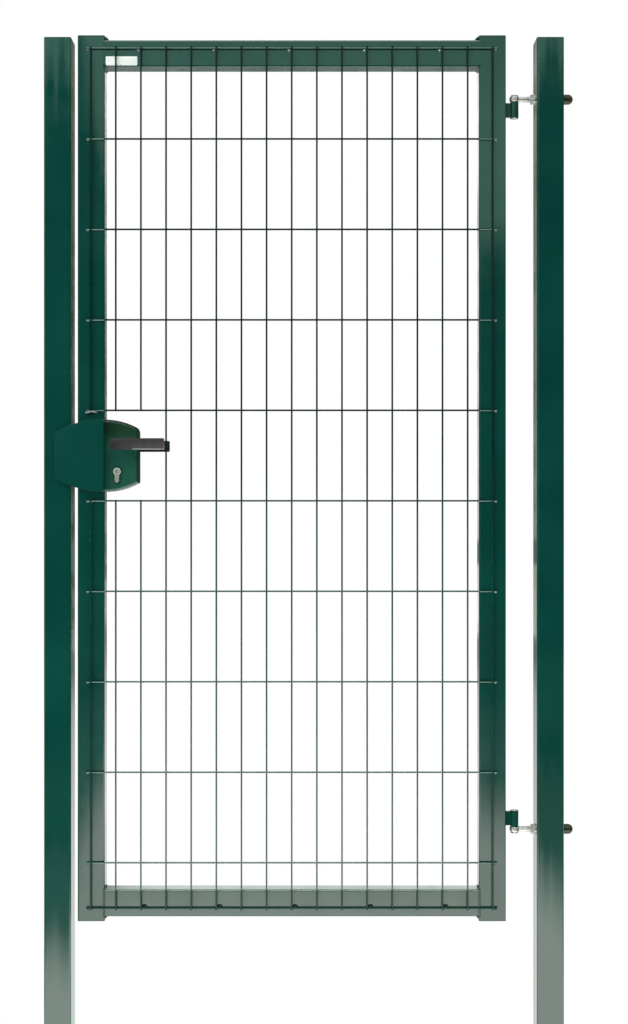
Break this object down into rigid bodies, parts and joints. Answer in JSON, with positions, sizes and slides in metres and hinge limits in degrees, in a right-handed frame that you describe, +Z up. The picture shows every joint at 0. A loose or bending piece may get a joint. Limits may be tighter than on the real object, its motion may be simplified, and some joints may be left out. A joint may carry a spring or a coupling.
{
  "type": "pedestrian gate",
  "caption": "Single-leaf pedestrian gate: a welded-mesh leaf in a steel tube frame, hung on eye-bolt hinges between square posts, with a lock and lever handles.",
  "frame": {"origin": "centre of the hinge post's foot, on its end face", "axes": "+Z up along the posts, +X from the latch post to the hinge post, -Y towards the front, the side the leaf opens to"},
  "size_m": [1.172, 0.13, 2.507],
  "materials": {
    "green_paint": "glossy powder coat",
    "case_paint": "smooth powder coat",
    "zinc_plate": "zinc plated",
    "plain_steel": "brushed",
    "nickel": "nickel plated",
    "dark_paint": "satin",
    "dark_plastic": "semi-gloss"
  },
  "bodies": {
    "posts": {"hinge_post": "green_paint", "latch_post": "green_paint", "hinge_post_foot_plate": "green_paint", "latch_post_foot_plate": "green_paint", "hinge_post_cap": "green_paint", "latch_post_cap": "green_paint", "upper_eye_bolt": "zinc_plate", "lower_eye_bolt": "zinc_plate", "upper_hinge_pin": "zinc_plate", "lower_hinge_pin": "zinc_plate", "upper_hinge_nut": "zinc_plate", "lower_hinge_nut": "zinc_plate", "upper_hinge_washer": "zinc_plate", "lower_hinge_washer": "zinc_plate", "upper_bolt_dome": "dark_plastic", "lower_bolt_dome": "dark_plastic"},
    "leaf": {"latch_stile": "green_paint", "hinge_stile": "green_paint", "top_rail": "green_paint", "bottom_rail": "green_paint", "latch_stile_top_cap": "green_paint", "latch_stile_bottom_cap": "green_paint", "hinge_stile_top_cap": "green_paint", "hinge_stile_bottom_cap": "green_paint", "mesh_panel": "green_paint", "upper_hinge_barrel": "green_paint", "lower_hinge_barrel": "green_paint", "lock_case": "case_paint", "shield_plate": "green_paint", "shield_spacer": "green_paint", "lock_face_plate": "plain_steel", "latch_tongue": "plain_steel", "dead_bolt": "plain_steel", "key_cylinder": "nickel", "front_key_plug": "nickel", "back_key_plug": "nickel"},
    "handle": {"front_lever": "dark_paint", "back_lever": "dark_paint", "spindle": "plain_steel"}
  },
  "joints": [
    {"name": "leaf_swing", "type": "hinge", "parent": "posts", "child": "leaf", "pos_m": [-0.076, 0, 1.5], "axis": [0, 0, 1], "range_deg": [0, 100]},
    {"name": "handle_turn", "type": "hinge", "parent": "leaf", "child": "handle", "pos_m": [-0.957, 0, 1.601], "axis": [0, 1, 0], "range_deg": [0, 40], "stiffness_Nm_per_rad": 3, "springref_deg": -17.19}
  ]
}
